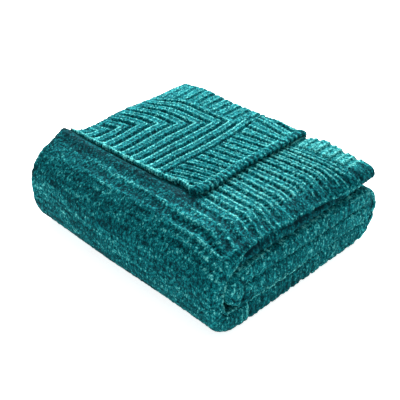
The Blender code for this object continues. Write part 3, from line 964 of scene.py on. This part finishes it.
# tufts, seed and their full length
piles = [pile("pile_turned_up_end", flap_sheet, flap, 32000, 71, 0.0020),
         pile("pile_folds_1", strip_sheet, strip, 90000, 72, 0.0023),
         pile("pile_folds_2", strip_sheet, strip, 90000, 73, 0.0023)]


# -------------------------------------------------------------- finishes
def colour(code):
    """sRGB hex to linear."""
    def channel(i):
        c = int(code[i:i + 2], 16) / 255
        return c / 12.92 if c <= 0.04045 else ((c + 0.055) / 1.055) ** 2.4
    return (channel(0), channel(2), channel(4), 1.0)


def add(tree, kind, links=(), **settings):
    """One node, with its settings and its incoming links."""
    node = tree.nodes.new(kind)
    for key, value in settings.items():
        if key.startswith("in_"):
            key = key[3:]
            node.inputs[int(key) if key.isdigit() else key.replace("_", " ")].default_value = value
        else:
            setattr(node, key, value)
    for socket, source in links:
        tree.links.new(source, node.inputs[socket])
    return node


def chenille():
    """Teal chenille yarn: short dense pile, so it is matt face on and glows where it
    turns away; its speckle where single tufts catch the light is painted into the
    colour, with painted light and shade on each nub."""
    m = bpy.data.materials.new("teal chenille yarn")
    m.use_nodes = True
    tree = m.node_tree
    shader = tree.nodes["Principled BSDF"]
    place = add(tree, "ShaderNodeTexCoord")
    # the point lightness: random tone with painted light and shade
    tone_and_shade = add(tree, "ShaderNodeAttribute", attribute_name="knit_tone_and_shade")
    # nubs of 3 mm, taller than wide down the sides; real ones are half that, too
    # fine to show, and so are the fibres of the tufts at 2.4 mm and their clumps
    tall = add(tree, "ShaderNodeMapping", [("Vector", place.outputs["Object"])], in_Scale=(1.0, 1.0, 0.6))
    nub = add(tree, "ShaderNodeTexVoronoi", [("Vector", tall.outputs["Vector"])], in_Scale=330.0)
    tufts = add(tree, "ShaderNodeTexNoise", [("Vector", place.outputs["Object"])],
                in_Scale=420.0, in_Detail=3.0, in_Roughness=0.65)
    clouds = add(tree, "ShaderNodeTexNoise", [("Vector", place.outputs["Object"])],
                 in_Scale=120.0, in_Detail=2.0, in_Roughness=0.5)
    each = add(tree, "ShaderNodeSeparateColor", [("Color", nub.outputs["Color"])])
    # painted glints: the tufts' fine speckle lightens and darkens the colour
    glint_speck = add(tree, "ShaderNodeMath", [(0, tufts.outputs["Fac"])],
                operation="MULTIPLY_ADD", in_1=1.3, in_2=-0.65)
    # painted shade towards each nub's edge, lighter in its middle; each nub's own tone is random
    shaded_nub = add(tree, "ShaderNodeMath", [(0, nub.outputs["Distance"]), (2, glint_speck.outputs[0])],
                    operation="MULTIPLY_ADD", in_1=-0.55)
    own = add(tree, "ShaderNodeMath", [(0, each.outputs["Red"]), (2, shaded_nub.outputs[0])],
              operation="MULTIPLY_ADD", in_1=0.34)
    cloud = add(tree, "ShaderNodeMath", [(0, clouds.outputs["Fac"])],
                operation="MULTIPLY_ADD", in_1=0.28, in_2=-0.06)
    mixed = add(tree, "ShaderNodeMath", [(0, own.outputs[0]), (1, cloud.outputs[0])], operation="ADD")
    level = add(tree, "ShaderNodeMath", [(0, tone_and_shade.outputs["Fac"]), (1, mixed.outputs[0])], operation="ADD")
    ramp = add(tree, "ShaderNodeValToRGB", [("Fac", level.outputs[0])])
    stops = [(0.0, "00222A"), (0.25, "003B43"), (0.55, "05666E"), (0.80, "1E9296"), (1.0, "6ED2CF")]
    for i, (at, code) in enumerate(stops):
        stop = ramp.color_ramp.elements[i] if i < 2 else ramp.color_ramp.elements.new(at)
        stop.position = at
        stop.color = colour(code)
    tree.links.new(ramp.outputs["Color"], shader.inputs["Base Color"])
    shader.inputs["Roughness"].default_value = 0.85
    shader.inputs["Sheen Weight"].default_value = 0.15
    shader.inputs["Sheen Roughness"].default_value = 0.4
    shader.inputs["Sheen Tint"].default_value = colour("50E0DC")
    shader.inputs["Specular IOR Level"].default_value = 0.04
    bump = add(tree, "ShaderNodeBump", [("Height", tufts.outputs["Fac"])],
               in_Strength=0.6, in_Distance=0.0015)
    tree.links.new(bump.outputs["Normal"], shader.inputs["Normal"])
    return m


yarn = chenille()
for obj in [strip, flap] + piles:
    obj.data.materials.append(yarn)
    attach(obj, "root")
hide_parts("throw")

# ----------------------------------------------------- floor, light, camera
bpy.ops.mesh.primitive_plane_add(size=60.0, location=(0, 0, 0))
floor = bpy.context.object
floor.name = "floor"
# seamless studio paper: matt and lit through, so it reads as plain white round the throw
paper = bpy.data.materials.new("white studio paper")
paper.use_nodes = True
sheet_of_paper = paper.node_tree.nodes["Principled BSDF"].inputs
sheet_of_paper["Base Color"].default_value = colour("D8DADA")
sheet_of_paper["Roughness"].default_value = 0.9
sheet_of_paper["Emission Color"].default_value = (1, 1, 1, 1)
sheet_of_paper["Emission Strength"].default_value = 0.80
floor.data.materials.append(paper)


def softbox(name, place, aim, size, power):
    light = bpy.data.lights.new(name, "AREA")
    light.shape = "DISK"
    light.size = size
    light.energy = power
    lamp = bpy.data.objects.new(name, light)
    lamp.location = place
    lamp.rotation_euler = (Vector(aim) - Vector(place)).to_track_quat("-Z", "Y").to_euler()
    bpy.context.scene.collection.objects.link(lamp)


# one big soft light from behind on the left, and an even white surround
softbox("key", (-1.15, 1.25, 1.55), (0, 0, 0.08), 1.2, 162)
world = bpy.data.worlds.new("studio")
bpy.context.scene.world = world
world.use_nodes = True
world.node_tree.nodes["Background"].inputs["Color"].default_value = (1, 1, 1, 1)
world.node_tree.nodes["Background"].inputs["Strength"].default_value = 0.62
bpy.context.scene.view_settings.view_transform = "Standard"

AZIMUTH, ELEVATION, DISTANCE = radians(45.24), radians(32.28), 1.054
AIM = Vector((0.0086, -0.0113, 0.0678))
back = Vector((sin(AZIMUTH) * cos(ELEVATION), -cos(AZIMUTH) * cos(ELEVATION), sin(ELEVATION)))
camera = bpy.data.objects.new("camera", bpy.data.cameras.new("camera"))
camera.data.lens = 61.3
camera.data.sensor_width = 36
camera.location = AIM + back * DISTANCE
camera.rotation_euler = (-back).to_track_quat("-Z", "Y").to_euler()
camera.data.clip_start = 0.05
bpy.context.scene.collection.objects.link(camera)
bpy.context.scene.camera = camera
